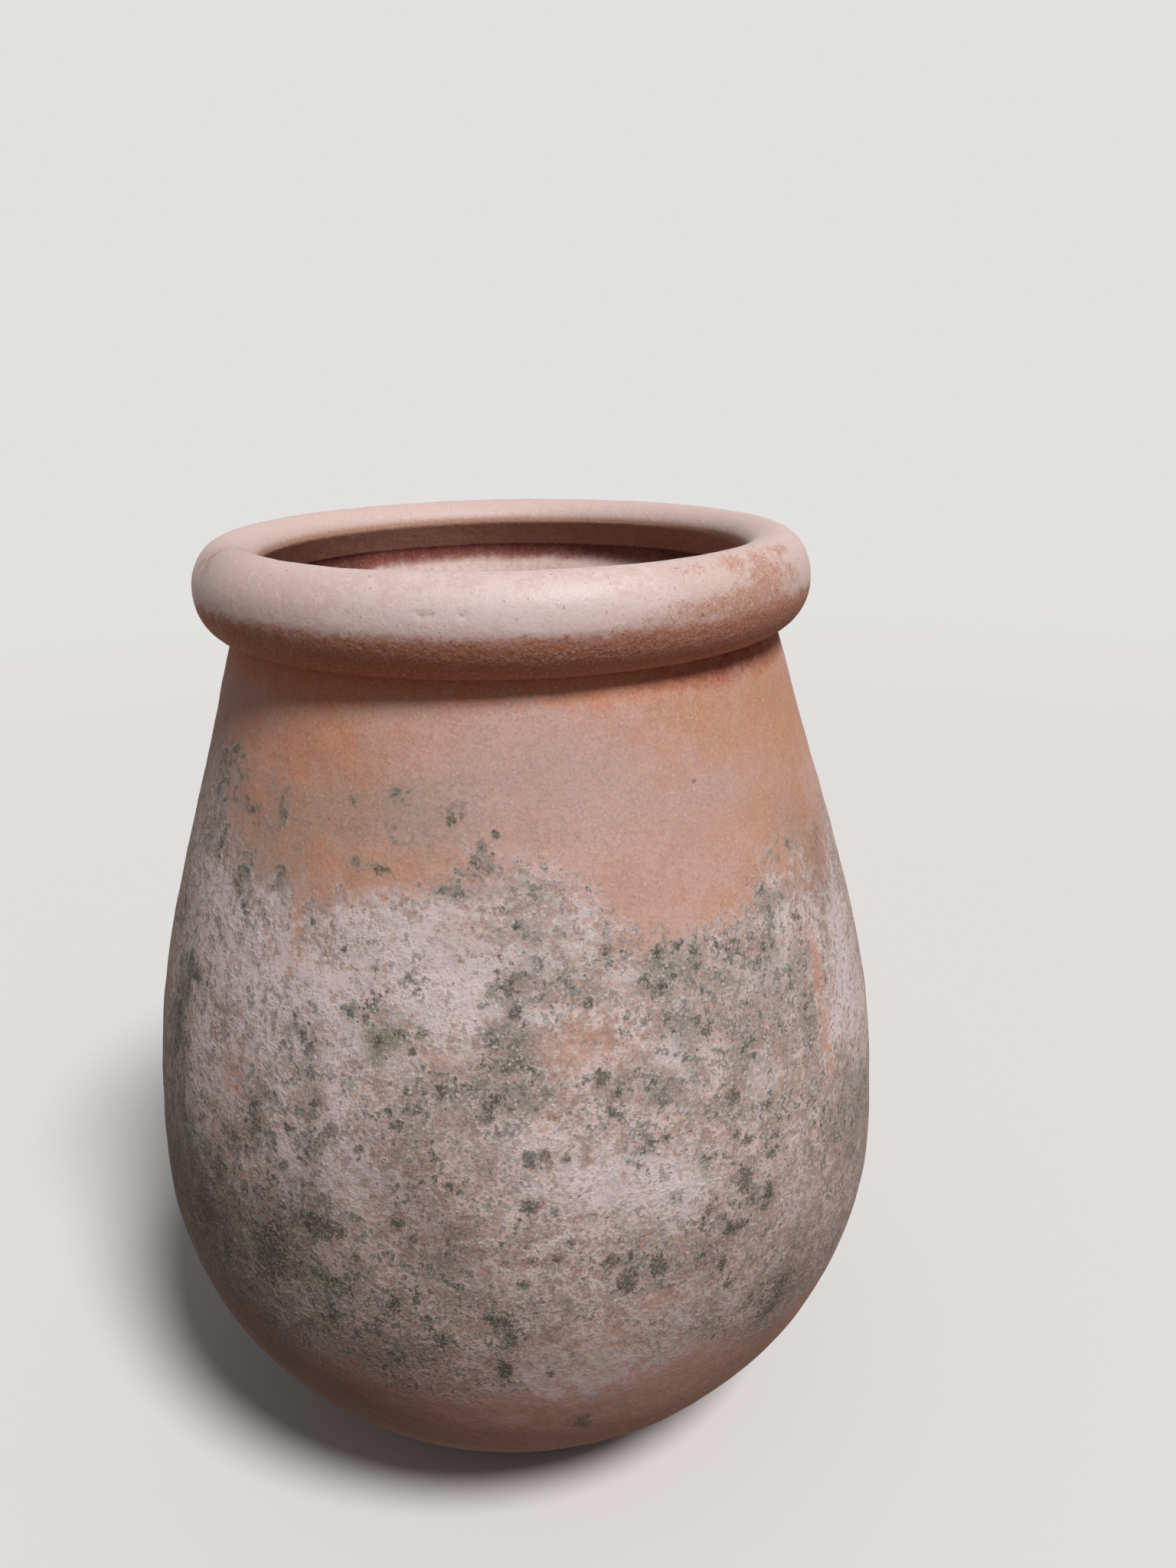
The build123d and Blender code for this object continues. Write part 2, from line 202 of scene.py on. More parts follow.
DARK_SPOTS = (
    (33, 252, 3.6, 3, 1), (4, 223, 3.7, 3, 1), (14, 193, 3.7, 3.5, .8), (16, 181, 4.2, 5, 1),
    (20, 186, 2.1, 4.5, 1), (21, 184, 2.9, 4, .8), (34, 212, 3.7, 5, 1), (38, 201, 2.5, 5.5, 1),
    (37, 194, 2.9, 2, .8), (4, 243, 2.8, 3.5, 1), (6, 245, 2.4, 3, .9), (9, 243, 1.6, 2, .9),
    (-13, 213, 2.9, 2.5, 1), (-11, 207, 2.5, 2, .8), (-7, 272, 2.3, 2.5, .9), (-13, 256, 2.8, 2, 1),
    (-17, 318, 1.5, 1.5, 1), (-12, 316, 1.8, 1.8, 1), (-22, 324, 1.5, 1.5, .9),
    (-28, 332, 1.8, 1.5, .8), (-8, 244, 2.4, 2, .9), (-6, 233, 1.6, 2.5, .8), (7, 220, 1.5, 2, .8),
    (9, 205, 2.1, 2, .8), (4, 198, 1.7, 1.5, .8), (7, 198, 2.5, 2.5, .7), (3, 187, 2.9, 2.5, .8),
    (28, 205, 2.1, 2, 1), (27, 200, 1.7, 2.5, .9), (32, 191, 6, 3, .9), (30, 175, 2.1, 3.5, 1),
    (31, 163, 3.3, 2, .8), (28, 229, 2.9, 3, .7), (35, 230, 3.3, 2, .9), (33, 235, 2.4, 2, .8),
    (40, 226, 2.9, 2, .8), (39, 219, 3.7, 2.5, .8), (22, 244, 3.6, 2, .7), (6, 137, 2.1, 2.5, .7),
    (9, 147, 2.1, 2, .7), (42, 143, 5.4, 5.5, .6), (40, 131, 5.3, 5.5, .6), (35, 146, 2.5, 4, .6),
    (-30, 227, 2.5, 2.5, .9), (-21, 203, 2.5, 2.5, .8), (0, 140, 2.9, 4.5, 1), (0, 269, 3.1, 2.5, .9),
    (14, 274, 2.7, 3.5, .9), (16, 267, 2, 1.5, 1), (15, 260, 2.4, 2.5, .9), (24, 320, 2.4, 1.9, .8),
    (24, 305, 2.6, 2.2, .8), (26, 309, 1.8, 1.8, .8), (21.5, 311, 1.6, 2, .8), (30, 311, 2.2, 1.6, .8),
    (27, 321, 2.5, 1.5, .9), (30, 284, 3.1, 2, .9), (-25, 259, 2.4, 1.5, .9), (-29, 245, 3.2, 2, .9),
    (-26, 272, 2, 2, .7), (-6, 378, 1.6, 2.2, .6), (1, 373, 1.2, 1.2, .7), (-17, 357, 3, 1.5, .8),
    (-2, 363, 1.6, 3, .5), (2, 313, 3.3, 2, .9), (3, 303, 2.6, 2.5, .9), (-1, 265, 2.8, 2, .9),
    (-5, 230, 1.6, 1.5, .7), (-18, 244, 2, 1.5, .7), (0, 168, 4.6, 3, .9), (1, 158, 2.1, 5, .9),
    (-2, 170, 2.5, 2, .8), (-11, 178, 2.5, 2, .8), (-14, 174, 2.5, 4, .8), (-8, 157, 2.5, 2.5, .8),
    (-23, 160, 2.1, 6, .9), (13, 305, 3.3, 2, .8), (35, 384, 1.9, 1.5, .6), (16, 324, 2.2, 2, .9),
    (-40, 229, 3.7, 3, .8), (-53, 289, 5.3, 3, .8), (-25, 204, 5.4, 4.5, .9), (39, 242, 2.4, 2, .8),
    (-28, 287, 2.2, 2, .6), (-26, 283, 1.8, 2, .6), (-16, 290, 2, 2.6, .8), (-13, 294, 1.8, 2, .7),
    (-18, 297, 1.6, 1.6, .7), (-11, 287, 1.8, 1.8, .7), (-24, 202, 7, 5, .65), (-33, 181, 9, 14, .75),
    (-22, 176, 8, 5, .5), (-43, 208, 5, 8, .7), (-35.5, 243, 4, 10, .7), (-25, 238, 4, 6, .55),
    (-56, 287, 4, 10, .8), (-58, 262, 4, 14, .7), (-47, 180, 8, 10, .65),
)
# Scuffs on the rim; the mark at its left end is painted shade.
RIM_SCUFFS_AND_SHADE = (
    (40, 457, 26, 4, .75), (52, 463, 18, 6, .7), (54, 449, 28, 6, 1), (30, 456, 16, 2.5, .3),
    (64, 472, 8, 1.5, .7), (54, 468, 14, 5, .5), (-64, 470, 12, 5, .35), (35, 472, 9, 1.5, .4),
    (46, 472, 18, 1.5, .5), (63, 463, 8, 3, .3),
)
RUST_PLACES = (
    (-40, 405, 26, 16, .55), (-46, 382, 14, 22, .4), (-24, 408, 20, 12, .35),
)
# Painted shade: low on the body, mostly on the left where the light falls off, and on the rim's left end.
PAINTED_SHADE_PLACES = (
    (-50, 168, 30, 40, .7), (-30, 196, 18, 24, .45), (-62, 150, 24, 70, .65), (-18, 150, 26, 26, .3),
    (-78, 230, 16, 80, .15), (-44, 104, 60, 30, .7), (-52, 82, 70, 34, .6), (-28, 217, 14, 14, .45),
    (-47, 155, 26, 30, .6), (-5, 196, 10, 9, .2), (27, 185, 12, 9, .3), (-9, 212, 16, 14, .62),
    (-12, 228, 14, 10, .2), (-5, 333, 12, 10, .2), (-15, 238, 26, 13, .35), (42, 128, 18, 22, .3),
    (-40, 138, 16, 14, .25), (-62, 473, 26, 8, .35), (-60, 262, 9, 34, .4), (64, 326, 14, 20, .4),
    (27, 152, 12, 12, .15),
)
# Deeper painted shade at the lower left edge, next to the floor.
DEEP_SHADE = (
    (-52, 104, 46, 24, .9), (-66, 128, 20, 34, .8), (-36, 70, 40, 16, .5),
)
# Painted highlight on the front of the rim.
RIM_PAINTED_HIGHLIGHT = (
    (4, 463, 50, 8, .9), (12, 463, 44, 8, .95), (-16, 461, 30, 6, .5), (12, 459, 30, 5, .5),
)
RIM_CHIPS = (
    (-9, 461, 2.2, 0.9, .8), (-7.5, 461, 1.2, 0.7, .7), (-3, 461, 1.6, 0.8, .8),
)

# Height in millimetres of the weather line, above which the clay stayed clean, round the jar.
WEATHER_LINE = (
    (-180, 338), (-160, 352), (-140, 330), (-120, 345), (-100, 362), (-80, 366), (-62, 380), (-52, 360),
    (-46, 352), (-38, 348), (-30, 345), (-22, 350), (-12, 352), (-4, 362), (4, 358), (10, 345),
    (16, 334), (22, 323), (30, 321), (36, 322), (42, 332), (50, 338), (58, 334), (68, 330), (80, 336),
    (100, 340), (120, 356), (140, 344), (160, 328), (180, 338),
)
# Height of the lower end of the weathering, round the jar.
SHELTER_LINE = (
    (-180, 118), (-150, 108), (-120, 124), (-90, 130), (-60, 140), (-40, 136), (-28, 130), (-18, 124),
    (-8, 122), (4, 132), (18, 140), (28, 130), (40, 118), (60, 112), (90, 120), (120, 110), (150, 122),
    (180, 118),
)


def smooth(low, high, value):
    """0 below low, 1 above high, and a soft step between."""
    share = np.clip((value - low) / (high - low), 0, 1)
    return share * share * (3 - 2 * share)


def soft_noise(points, size, seed):
    """Smooth random values from about -1 to 1, with bumps of one size in metres."""
    rng = np.random.default_rng(seed)
    order = rng.permutation(NOISE_CELLS)
    slopes = rng.normal(size=(NOISE_CELLS, 3))
    slopes /= np.linalg.norm(slopes, axis=1, keepdims=True)
    place = points / size
    cell = np.floor(place).astype(np.int64)
    inside = place - cell
    weight = inside**3 * (inside * (inside * 6 - 15) + 10)
    total = 0.0
    for corner in product((0, 1), repeat=3):
        step = np.array(corner)
        near = cell + step
        pick = order[near[..., 0] % NOISE_CELLS]
        pick = order[(pick + near[..., 1]) % NOISE_CELLS]
        pick = order[(pick + near[..., 2]) % NOISE_CELLS]
        share = np.prod(np.where(step, weight, 1 - weight), axis=-1)
        total = total + share * ((inside - step) * slopes[pick]).sum(-1)
    return total * NOISE_GAIN


def rough_noise(points, name):
    """Several layers of soft noise, each half the size of the one before."""
    size, seed, layers, fall = NOISES[name]
    total, strength, reach = 0.0, 1.0, 0.0
    for layer in range(layers):
        total = total + strength * soft_noise(points, size * MM / 2**layer, seed + layer)
        reach += strength
        strength *= fall
    return total / reach


# The outline of the jar, in metres.


def line(start, end, step):
    """Points from start to end, about one step apart."""
    count = max(1, round(hypot(end[0] - start[0], end[1] - start[1]) / step))
    share = np.linspace(0, 1, count + 1)[:, None]
    return np.array(start) * (1 - share) + np.array(end) * share


def oval(centre, wide, tall, start, end, step):
    """Points on an upright oval between two angles in radians."""
    count = max(2, round(abs(end - start) * (wide + tall) / 2 / step))
    angle = np.linspace(start, end, count + 1)
    return np.stack([centre[0] + wide * np.cos(angle), centre[1] + tall * np.sin(angle)], 1)


def on_circle(centre, radius, angle):
    """Point on an upright circle, with the angle in radians above level."""
    return (centre[0] + radius * cos(angle), centre[1] + radius * sin(angle))


def bend(start, end, leave, arrive, step):
    """Smooth curve that leaves start and arrives at end along two directions."""
    span = hypot(end[0] - start[0], end[1] - start[1])
    share = np.linspace(0, 1, max(3, round(span / step)) + 1)[:, None]
    square, cube = share**2, share**3
    ends = (2 * cube - 3 * square + 1) * np.array(start) + (3 * square - 2 * cube) * np.array(end)
    first = (cube - 2 * square + share) * np.array(leave) * span
    last = (cube - square) * np.array(arrive) * span
    return ends + first + last


def joint_path(outer, inner, ridge, shoulder):
    """The joint's line inside the wall: end of one shoulder, ridge, end of the other."""
    along = (inner - outer) / np.linalg.norm(inner - outer)
    tip = (outer + inner) / 2 + ridge * np.array([along[1], -along[0]])
    return [outer + shoulder * (inner - outer), tip, inner + shoulder * (outer - inner)]


class Outline:
    """The closed outline of the jar as rows of points, with the row of each seam."""

    def __init__(self, jar):
        crease_z = jar.height - jar.roll_height
        corner_low = jar.belly_height * jar.lower_corner_share
        corner_high = jar.belly_height + jar.upper_corner_share * (crease_z - jar.belly_height)
        foot_lean = atan2(jar.belly_radius - jar.foot_radius, corner_low)
        neck_lean = atan2(jar.belly_radius - jar.neck_radius, crease_z - corner_high)
        low_r = (jar.belly_height - corner_low) / tan(foot_lean / 2)
        high_r = (corner_high - jar.belly_height) / tan(neck_lean / 2)
        low_centre = (jar.belly_radius - low_r, jar.belly_height)
        high_centre = (jar.belly_radius - high_r, jar.belly_height)
        low_seam = -foot_lean * jar.lower_seam_share
        high_seam = neck_lean * jar.shoulder_seam_share
        depths = (0, jar.wall)

        def foot_line(z, depth=0.0):
            return (jar.foot_radius + z * tan(foot_lean) - depth / cos(foot_lean), z)

        def neck_line(z, depth=0.0):
            return (jar.neck_radius + (crease_z - z) * tan(neck_lean) - depth / cos(neck_lean), z)

        def curve(start, end, step, depth=0.0):
            centre, radius = (low_centre, low_r) if min(start, end) < 0 else (high_centre, high_r)
            return oval(centre, radius - depth, radius - depth, start, end, step)

        lean_top, lean_top_in = (on_circle(low_centre, low_r - d, -foot_lean) for d in depths)
        neck_foot, neck_foot_in = (on_circle(high_centre, high_r - d, neck_lean) for d in depths)
        seam = neck_line(neck_foot[1] + jar.neck_seam_share * (crease_z - neck_foot[1]))
        seam_in = (seam[0] - jar.wall * cos(neck_lean), seam[1] - jar.wall * sin(neck_lean))
        cove_z = jar.base + jar.cove
        cove = (foot_line(cove_z, jar.wall + jar.cove)[0], cove_z)
        edge = (foot_line(jar.foot_edge, jar.foot_edge)[0], jar.foot_edge)
        base = foot_line(jar.base)
        hub = jar.foot_radius * HUB_SHARE
        under_roll = neck_line(crease_z - CREASE_REACH)
        crease = (jar.neck_radius, crease_z)
        half = jar.roll_height / 2
        roll = (jar.neck_radius, crease_z + half)
        mouth = jar.neck_radius - jar.mouth_inset
        lip_top = (mouth, jar.height - jar.lip_drop)
        lip_foot = (mouth, lip_top[1] - jar.lip_land)
        lip = (jar.neck_radius, lip_top[1])
        crease_in = (mouth + jar.lip_undercut, lip_foot[1] - jar.lip_undercut_drop)
        channel = (crease_in[0] + jar.channel_depth, crease_in[1] - jar.channel_drop)
        throat = neck_line(crease_z - jar.throat_drop, jar.wall)

        step = {name: gap * MM for name, gap in ROW_GAPS.items()}
        fine, mid, wide = jar.fine_step, jar.fine_step * 1.6, jar.fine_step * 3.2
        back, fall = (0.7, -0.7), (0, -1)
        runs = [
            ("foot", line((hub, 0), (edge[0], 0), step["foot"])),
            ("", oval(edge, jar.foot_edge, jar.foot_edge, -pi / 2, -foot_lean, step["edge"])),
            ("", line(on_circle(edge, jar.foot_edge, -foot_lean), base, fine)),
            ("base", line(base, lean_top, fine)),
            ("", curve(-foot_lean, low_seam, fine)),
            ("lower", curve(low_seam, 0, fine)),
            ("", curve(0, high_seam, fine)),
            ("shoulder", curve(high_seam, neck_lean, fine)),
            ("", line(neck_foot, seam, fine)),
            ("neck", line(seam, under_roll, fine)),
            ("", line(under_roll, crease, step["crease"])),
            ("crease", oval(roll, jar.roll_overhang, half, -pi / 2, pi / 2, step["roll"])),
            ("", oval(lip, jar.mouth_inset, jar.lip_drop, pi / 2, pi, step["roll"])),
            ("", line(lip_top, lip_foot, step["edge"])),
            ("", line(lip_foot, crease_in, step["edge"])),
            ("crease_in", bend(crease_in, channel, back, fall, step["roll"])),
            ("", bend(channel, throat, fall, fall, step["hollow"])),
            ("", line(throat, seam_in, mid)),
            ("neck_in", line(seam_in, neck_foot_in, mid)),
            ("", curve(neck_lean, high_seam, wide, jar.wall)),
            ("shoulder_in", curve(high_seam, 0, wide, jar.wall)),
            ("", curve(0, low_seam, wide, jar.wall)),
            ("lower_in", curve(low_seam, -foot_lean, wide, jar.wall)),
            ("", line(lean_top_in, on_circle(cove, jar.cove, -foot_lean), wide)),
            ("", oval(cove, jar.cove, jar.cove, -foot_lean, -pi / 2, step["cove"])),
            ("base_in", line((cove[0], jar.base), (hub, jar.base), step["floor"])),
        ]
        rows, self.seam = [runs[0][1][:1]], {}
        for name, points in runs:
            if name:
                self.seam[name] = sum(len(run) for run in rows) - 1
            rows.append(points[1:])
        self.rows = np.vstack(rows)
        self.seam["foot_in"] = len(self.rows) - 1
        slope = np.gradient(self.rows, axis=0)
        slope /= np.linalg.norm(slope, axis=1, keepdims=True)
        self.normals = np.stack([slope[:, 1], -slope[:, 0]], 1)

        self.joints = {}
        for name in ("base", "lower", "shoulder", "neck"):
            outer, inner = (self.rows[self.seam[side]] for side in (name, name + "_in"))
            self.joints[name] = joint_path(outer, inner, jar.joint_ridge, jar.joint_shoulder_share)
        width = crease[0] - crease_in[0]
        tenon_z = crease_z + half * (1 + jar.tenon_rise_share)
        heights = (tenon_z, tenon_z, crease_in[1])
        self.joints["crease"] = [
            (crease_in[0] + share * width, z) for share, z in zip(TENON_SHARES, heights)
        ]


def turned(profile, turn):
    """Grid of points: a flat profile turned to each angle round the jar."""
    around = np.stack([np.sin(turn), -np.cos(turn)], 1)
    flat = profile[:, None, :1] * around[None]
    return np.concatenate([flat, np.repeat(profile[:, None, 1:], len(turn), 1)], 2)


class Skin:
    """The jar's whole surface as a grid of points, and what covers it at each point."""

    def __init__(self, shape, surface):
        self.outline = Outline(shape)
        rows, seam = self.outline.rows, self.outline.seam
        self.azimuth = -180 + 360 * np.arange(shape.turns) / shape.turns
        self.turn = np.radians(self.azimuth)
        points = turned(rows, self.turn)
        index = np.arange(len(rows))[:, None]
        is_out = ((index > seam["foot"]) & (index <= seam["crease_in"])) * 1.0
        is_roll = ((index > seam["crease"]) & (index <= seam["crease_in"])) * 1.0
        self.fields = self.cover(points, rows, is_out, is_roll)

        push = surface.lumps * rough_noise(points, "lumps")
        push = push + surface.grain * rough_noise(points, "grain")
        wave = 0.7 * np.sin(points[..., 2] / RING_RISE + RING_WAVER * rough_noise(points, "waver"))
        push = push + surface.rings * wave * (0.6 + 0.6 * rough_noise(points, "fading"))
        amount = np.where(is_roll > 0, ROLL_SHARE, np.where(index <= seam["crease"], 1.0, INSIDE_SHARE))
        amount = amount * smooth(0.0, FOOT_FADE, rows[:, 1:])
        push = push * amount - surface.chip_depth * self.fields["chips"]
        self.points = points + turned(self.outline.normals, self.turn) * push[..., None]

    def cover(self, points, rows, is_out, is_roll):
        """Strength of each finish at each point, from 0 to 1."""
        self.radius, self.height = (rows / MM).T
        height = np.repeat(self.height[:, None], len(self.azimuth), 1)
        outside, inner = is_out * (1 - is_roll), 1 - is_out
        facing = self.outline.normals[:, 1:]
        beyond = rows[:, :1] >= rows[self.outline.seam["crease"], 0]
        outer_roll, inner_roll = is_roll * beyond, is_roll * ~beyond

        wander = rough_noise(points, "wander")
        broad, patchy = rough_noise(points, "broad"), rough_noise(points, "patchy")
        drips = rough_noise(points * DRIP_STRETCH, "drips")
        top, low = (
            np.interp(self.azimuth, *np.array(at, float).T) for at in (WEATHER_LINE, SHELTER_LINE)
        )
        weather = smooth(-24, 14, top - height + 14 * wander + 16 * drips)
        weather = weather * smooth(-16, 20, height - low + 18 * wander)
        lower = outside * smooth(14, -26, height - low + 14 * wander)
        behind = smooth(*BEHIND, np.abs(self.azimuth)) * outside
        fields = {
            "weather": weather * outside,
            "salt_bloom_and_edge_light": self.marks(SALT_BLOOM_AND_EDGE_LIGHT) + behind * smooth(-0.05, 0.4, broad) * weather,
            "stain": self.marks(GREY_STAIN) + behind * smooth(0.02, 0.4, patchy) * weather,
            "green": self.marks(GREEN_MOSS) + behind * smooth(0.3, 0.6, patchy) * weather,
            "orange_clay_and_lip_shade": self.marks(ORANGE_CLAY) + behind * smooth(-0.1, 0.5, -broad) * (1 - 0.7 * weather),
            "veil": self.marks(LILAC_VEIL) + behind * smooth(0.1, 0.4, broad) * (1 - weather),
            "spots": self.marks(DARK_SPOTS, CRISP),
            "thin_stain": self.marks(THIN_STAIN),
        }
        fields = {name: np.clip(values, 0, 1) * outside for name, values in fields.items()}

        # Painted shade in the throat away from where the daylight falls, and in the hollow under the lip.
        throat = inner * smooth(*SHADE, np.abs(self.apart(DAYLIGHT))) * smooth(*THROAT, height)
        hollow = inner * smooth(*HOLLOW, height)
        # The lip's underside takes orange clay in place of the pale rim, partly as painted shade.
        lip_underside_shade = inner_roll * smooth(0.5, 0.1, facing)
        fields["pale"] = is_roll * (1 - 0.85 * lip_underside_shade) + inner * smooth(*PALE_INSIDE, height)
        below_throat = 0.9 * inner * smooth(*THROAT[::-1], height)
        fields["orange_clay_and_lip_shade"] = fields["orange_clay_and_lip_shade"] + below_throat + lip_underside_shade
        # Scuffs on the rim, and painted shade on the roll's underside.
        fields["scuffs_and_painted_shade"] = is_roll * (self.marks(RIM_SCUFFS_AND_SHADE) + outer_roll * smooth(0.12, -0.35, facing))
        # Red clay, with painted bounce light in the roll's shadow on the neck.
        fields["red_clay_and_painted_bounce"] = outside * (smooth(*RED_NECK_PAINTED_BOUNCE, height) + self.marks(RUST_PLACES))
        # Dirt and painted shade: under the roll, under the lip, in the crease, in the hollow and in the
        # throat; also darker low outside and towards the floor inside.
        fields["dirt_and_painted_shade"] = (
            outer_roll * smooth(0.12, -0.28, facing)
            + 0.2 * inner_roll * smooth(0.1, -0.4, facing)
            + outside * smooth(*CREASE_DIRT_AND_SHADE, height) * (0.1 + 0.55 * smooth(18, 50, self.azimuth))
            + 0.2 * lower
            + 0.8 * inner * smooth(*INNER_FLOOR, height)
            + hollow
            + throat
        )
        # Painted shade: low on the body, at the listed places, in the throat and in the hollow.
        fields["painted_shade"] = (
            0.55 * outside * smooth(*PAINTED_SHADE_RISE, height + 16 * wander)
            + is_out * self.marks(PAINTED_SHADE_PLACES)
            + 0.6 * throat
            + 0.3 * hollow
        )
        # Painted highlight on the front of the rim, which also lowers the roughness there.
        fields["polish_and_painted_highlight"] = is_roll * self.marks(RIM_PAINTED_HIGHLIGHT)
        fields["chips"] = is_roll * self.marks(RIM_CHIPS, CRISP)
        # Deeper painted shade at the lower left edge.
        fields["deep_painted_shade"] = outside * self.marks(DEEP_SHADE)
        fields["aside"] = outside * smooth(-8, -34, self.azimuth)
        fields["inside"] = inner
        whole = np.ones_like(height)
        return {name: np.clip(values, 0, 1) * whole for name, values in fields.items()}

    def apart(self, azimuth):
        """Degrees from one place round the jar, from -180 to 180."""
        return (self.azimuth - azimuth + 180) % 360 - 180

    def marks(self, marks, sharpness=1.0):
        """How strongly the listed oval marks cover each point of the grid."""
        bare = np.ones((len(self.height), len(self.azimuth)))
        for azimuth, height, wide, tall, strength in marks:
            apart = np.radians(self.apart(azimuth))
            columns = np.flatnonzero(np.abs(apart) * LEAST_RADIUS < MARK_REACH * wide)
            rows = np.flatnonzero(np.abs(self.height - height) < MARK_REACH * tall)
            across = apart[columns] * self.radius[rows][:, None] / wide
            up = (self.height[rows] - height)[:, None] / tall
            cover = np.exp(-((MARK_FALL * (across**2 + up**2)) ** sharpness))
            bare[np.ix_(rows, columns)] *= 1 - strength * cover
        return 1 - bare


@lru_cache(maxsize=1)
def jar_skin():
    """The surface that all sections share."""
    scene = bpy.context.scene
    return Skin(scene.olive_jar_shape, scene.olive_jar_surface)


def section_rings(skin, name):
    """Rings of points round the section's outline, their rows and the kind of each band."""
    low, high = SECTIONS[name]
    seam, joints = skin.outline.seam, skin.outline.joints
    rings, rows, kinds = [], [], []

    def add_side(start, end, kind, next_kind):
        for row in range(seam[start], seam[end] + 1):
            rings.append(skin.points[row])
            rows.append(row)
            kinds.append(kind if row < seam[end] else next_kind)

    def add_joint(path, kind):
        rings.extend(turned(np.array(path), skin.turn))
        rows.extend([None] * len(path))
        kinds.extend([kind] * len(path))

    add_side(low, high, "outer", "top" if high in joints else "bottom")
    if high in joints:
        add_joint(joints[high], "top")
        add_side(high + "_in", low + "_in", "inner", "bottom")
    if low in joints:
        add_joint(joints[low][::-1], "bottom")
    return np.array(rings), rows, kinds


def build_section(name):
    """Mesh of one section, with its finishes as attributes and its own map."""
    skin = jar_skin()
    rings, rows, kinds = section_rings(skin, name)
    levels, count = rings.shape[:2]
    closed = SECTIONS[name][0] in skin.outline.joints
    vertices = rings.reshape(-1, 3)
    column = np.arange(count)
    level = np.arange(levels if closed else levels - 1)[:, None]
    following, here, above = (column + 1) % count, level * count, (level + 1) % levels * count
    quads = np.stack([here + column, here + following, above + following, above + column], -1)
    corners, starts = quads.ravel(), np.arange(quads.size // 4) * 4
    last = (levels - 1) * count
    if not closed:
        poles = np.array([[0, 0, rings[0, 0, 2]], [0, 0, rings[-1, 0, 2]]])
        under, over = (np.full(count, len(vertices) + pole) for pole in (0, 1))
        vertices = np.vstack([vertices, poles])
        fans = [
            np.stack([under, following, column], 1),
            np.stack([last + column, last + following, over], 1),
        ]
        starts = np.r_[starts, len(corners) + np.arange(2 * count) * 3]
        corners = np.r_[corners, np.ravel(fans)]
    mesh = bpy.data.meshes.new(name + "_clay")
    mesh.vertices.add(len(vertices))
    mesh.vertices.foreach_set("co", vertices.ravel())
    mesh.loops.add(len(corners))
    mesh.loops.foreach_set("vertex_index", corners)
    mesh.polygons.add(len(starts))
    mesh.polygons.foreach_set("loop_start", starts)
    mesh.update(calc_edges=True)
    mesh.validate()
    mesh.shade_smooth()

    hard = np.isin(kinds, ("top", "bottom"))
    hard = hard | np.roll(hard, 1)
    if not closed:
        hard[[0, -1]] = False
    edges = np.empty(len(mesh.edges) * 2, np.int32)
    mesh.edges.foreach_get("vertices", edges)
    edges = edges.reshape(-1, 2)
    start_ring, end_ring = np.minimum(edges // count, levels - 1).T
    sharp = (start_ring == end_ring) & hard[start_ring] & (edges.max(1) < levels * count)
    mesh.attributes.new("sharp_edge", "BOOLEAN", "EDGE").data.foreach_set("value", sharp)

    blank = np.zeros(count)
    for field in FIELDS:
        values = np.ravel([blank if row is None else skin.fields[field][row] for row in rows])
        if not closed:
            values = np.r_[values, values[:count].mean(), values[last:].mean()]
        mesh.attributes.new(field, "FLOAT", "POINT").data.foreach_set("value", values.astype(np.float32))

    lay_out(mesh, rings, kinds, closed)
    return bpy.data.objects.new(name + "_clay", mesh)


def lay_out(mesh, rings, kinds, closed):
    """Map of the section in strips, with most of the room for the side that shows."""
    column = np.arange(rings.shape[1])
    path = np.concatenate([rings[:, 0], rings[:1, 0]]) if closed else rings[:, 0]
    steps = np.linalg.norm(np.diff(path, axis=0), axis=1)
    around = 2 * pi * np.hypot(rings[..., 0], rings[..., 1]).max()
    breaks = [place for place in range(1, len(steps)) if kinds[place] != kinds[place - 1]]
    runs = list(zip([0, *breaks], [*breaks, len(steps)]))
    tall = sum(steps[start:end].sum() for start, end in runs if kinds[start] == "outer")
    strips = {"outer": max(1, round((SQUARENESS * around / max(tall, MM)) ** 0.5))}
    room = {"outer": strips["outer"] ** 2, "inner": 1.0}
    heights = [
        steps[start:end].sum() / around * room.get(kinds[start], JOINT_SHARE) for start, end in runs
    ]
    gaps = sum(strips.get(kinds[start], 1) for start, end in runs) + 2
    scale = (1 - gaps * MAP_GAP) / sum(heights)
    flat = np.zeros((len(steps), len(column), 4, 2))
    base = MAP_GAP
    for (start, end), height in zip(runs, heights):
        number = strips.get(kinds[start], 1)
        per = len(column) / number
        strip = np.floor(column / per)
        left, right = ((column + side - strip * per) / per for side in (0, 1))
        each = height * scale / number
        floor = base + strip * (each + MAP_GAP)
        travelled = np.r_[0, np.cumsum(steps[start:end])] / steps[start:end].sum()
        low, high = (floor + each * part[:, None] for part in (travelled[:-1], travelled[1:]))
        flat[start:end, :, :, 0] = MAP_GAP + (1 - 2 * MAP_GAP) * np.stack([left, right, right, left], 1)
        flat[start:end, :, :, 1] = np.stack([low, low, high, high], -1)
        base += number * (each + MAP_GAP)
    flat = flat.reshape(-1, 2)
    if not closed:
        fan = np.zeros((len(column), 3, 2))
        fan[:, 0] = (0.5, 1 - 0.5 * MAP_GAP)
        fan[:, 1, 0], fan[:, 2, 0] = (column + 1) / len(column), column / len(column)
        fan[:, 1:, 1] = 1 - 0.8 * MAP_GAP
        flat = np.vstack([flat, *fan, *fan])
    layer = mesh.uv_layers.new(name="OFBake")
    layer.uv.foreach_set("vector", flat.astype(np.float32).ravel())


# Finishes.


